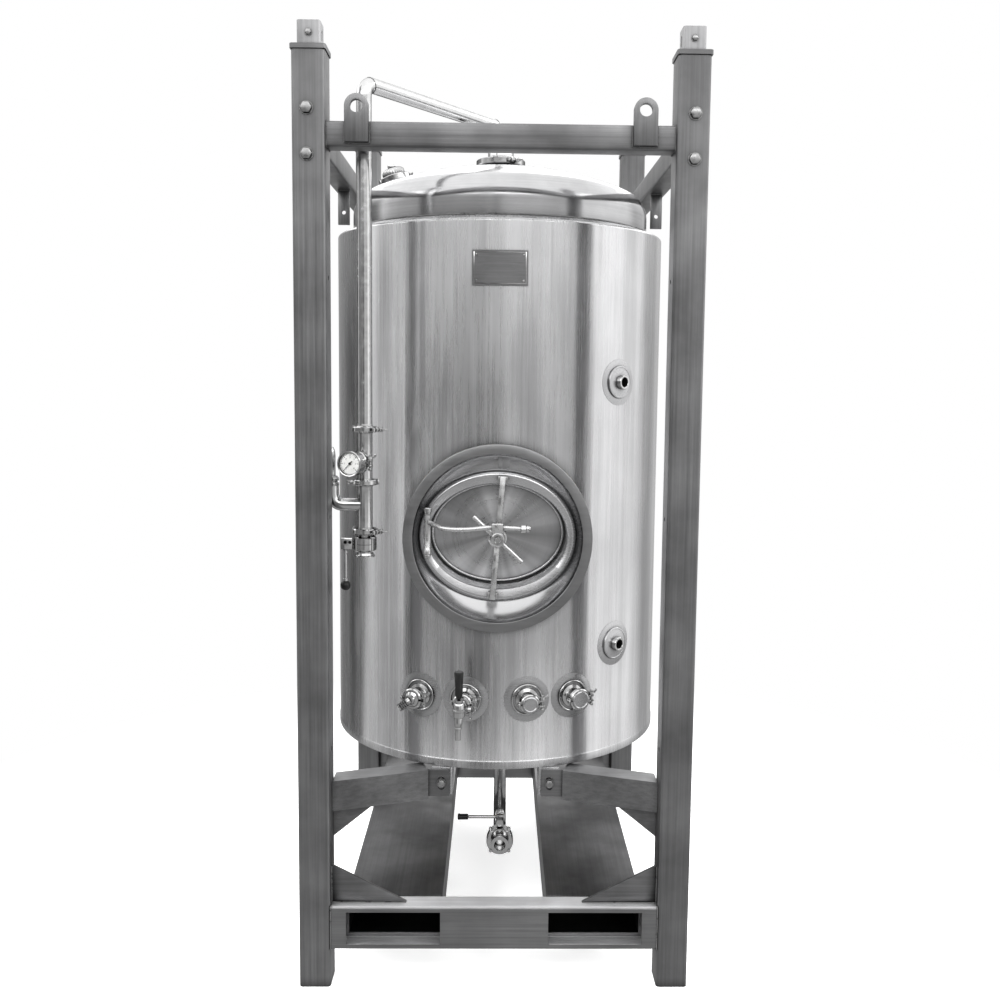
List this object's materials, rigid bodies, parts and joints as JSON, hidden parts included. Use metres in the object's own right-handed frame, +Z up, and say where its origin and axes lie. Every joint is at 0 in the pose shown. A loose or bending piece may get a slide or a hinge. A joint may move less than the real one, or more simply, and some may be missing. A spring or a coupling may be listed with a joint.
{
  "type": "intermediate bulk container",
  "caption": "Upright insulated stainless tank in a stackable square-tube frame with fork pockets, lifting lugs, an oval manway, a gauge column and a bottom drain valve.",
  "frame": {"origin": "on the ground under the middle of the frame", "axes": "+X to the right seen from the manway side, +Y to the back, +Z up"},
  "size_m": [1.006, 1.22, 2.4083],
  "materials": {
    "frame_steel": "satin",
    "jacket_steel": "satin",
    "vessel_steel": "satin",
    "fitting_steel": "polished",
    "plate_steel": "matte",
    "black_plastic": "satin",
    "white_plastic": "satin",
    "seal_rubber": "matte",
    "insulation_foam": "matte"
  },
  "bodies": {
    "tank_and_frame": {"post_front_left": "frame_steel", "post_front_right": "frame_steel", "post_rear_left": "frame_steel", "post_rear_right": "frame_steel", "stacking_head_front_left": "frame_steel", "stacking_head_front_right": "frame_steel", "stacking_head_rear_left": "frame_steel", "stacking_head_rear_right": "frame_steel", "support_arm_front_left": "frame_steel", "support_arm_front_right": "frame_steel", "support_arm_rear_left": "frame_steel", "support_arm_rear_right": "frame_steel", "top_beam_front": "frame_steel", "top_beam_rear": "frame_steel", "top_beam_left": "frame_steel", "top_beam_right": "frame_steel", "base_beam_front": "frame_steel", "base_beam_rear": "frame_steel", "fork_channel_left": "frame_steel", "fork_channel_right": "frame_steel", "vessel_shell": "vessel_steel", "vessel_top_head": "vessel_steel", "vessel_bottom_head": "vessel_steel", "insulation": "insulation_foam", "jacket_cladding": "jacket_steel", "jacket_base_ring": "jacket_steel", "nameplate": "plate_steel", "manway_collar": "jacket_steel", "manway_neck": "vessel_steel", "manway_yoke": "fitting_steel", "manway_davit": "fitting_steel", "port_hose": "fitting_steel", "port_tap": "fitting_steel", "port_blank_inner": "fitting_steel", "port_blank_outer": "fitting_steel", "sensor_port_lower": "fitting_steel", "sensor_port_upper": "fitting_steel", "top_clamp": "fitting_steel", "cleaning_pipe": "fitting_steel", "relief_clamp": "fitting_steel", "relief_valve": "white_plastic", "column_clamp_upper": "fitting_steel", "column_clamp_middle": "fitting_steel", "column_clamp_lower": "fitting_steel", "gauge_tee": "fitting_steel", "gauge_body": "fitting_steel", "branch_tee": "fitting_steel", "column_valve": "fitting_steel", "drain_pipe": "fitting_steel", "drain_valve": "fitting_steel"},
    "manway_door": {"manway_door": "fitting_steel", "manway_gasket": "seal_rubber"},
    "manway_handle": {"manway_handle": "fitting_steel"},
    "column_lever": {"column_valve_lever": "fitting_steel"},
    "drain_lever": {"drain_valve_lever": "fitting_steel", "drain_valve_grip": "black_plastic"},
    "tap_handle": {"tap_handle": "black_plastic"},
    "tap_flow_lever": {"tap_flow_lever": "fitting_steel"},
    "gauge_needle": {"gauge_needle": "black_plastic"},
    "relief_knob": {"relief_knob": "white_plastic"}
  },
  "joints": [
    {"name": "manway_handle_turn", "type": "hinge", "parent": "tank_and_frame", "child": "manway_handle", "pos_m": [0, -0.491, 1.152], "axis": [0, -1, 0], "range_deg": [0, 1440]},
    {"name": "manway_door_slide", "type": "slide", "parent": "tank_and_frame", "child": "manway_door", "axis": [0, 1, 0], "range_m": [0, 0.024]},
    {"name": "column_lever_turn", "type": "hinge", "parent": "tank_and_frame", "child": "column_lever", "pos_m": [-0.391, -0.5, 1.1405], "axis": [-1, 0, 0], "range_deg": [0, 90]},
    {"name": "drain_lever_turn", "type": "hinge", "parent": "tank_and_frame", "child": "drain_lever", "pos_m": [0.015, -0.134, 0.251], "axis": [0, 0, 1], "range_deg": [0, 90]},
    {"name": "tap_handle_tip", "type": "hinge", "parent": "tank_and_frame", "child": "tap_handle", "pos_m": [-0.09566, -0.5538, 0.7543], "axis": [0.9854, -0.1702, 0], "range_deg": [0, 40]},
    {"name": "tap_flow_turn", "type": "hinge", "parent": "tank_and_frame", "child": "tap_flow_lever", "pos_m": [-0.09225, -0.53409, 0.716], "axis": [-0.9854, 0.1702, 0], "range_deg": [0, 60]},
    {"name": "gauge_needle_sweep", "type": "hinge", "parent": "tank_and_frame", "child": "gauge_needle", "pos_m": [-0.36907, -0.57987, 1.352], "axis": [0.342, 0.9397, 0], "range_deg": [0, 270], "stiffness_Nm_per_rad": 0.0002},
    {"name": "relief_knob_pull", "type": "slide", "parent": "tank_and_frame", "child": "relief_knob", "axis": [-0.305, 0, 0.9524], "range_m": [0, 0.007], "stiffness_N_per_m": 500}
  ],
  "couplings": [
    {"joint": "manway_door_slide", "follows": "manway_handle_turn", "m_per_rad": 0.00095493}
  ]
}
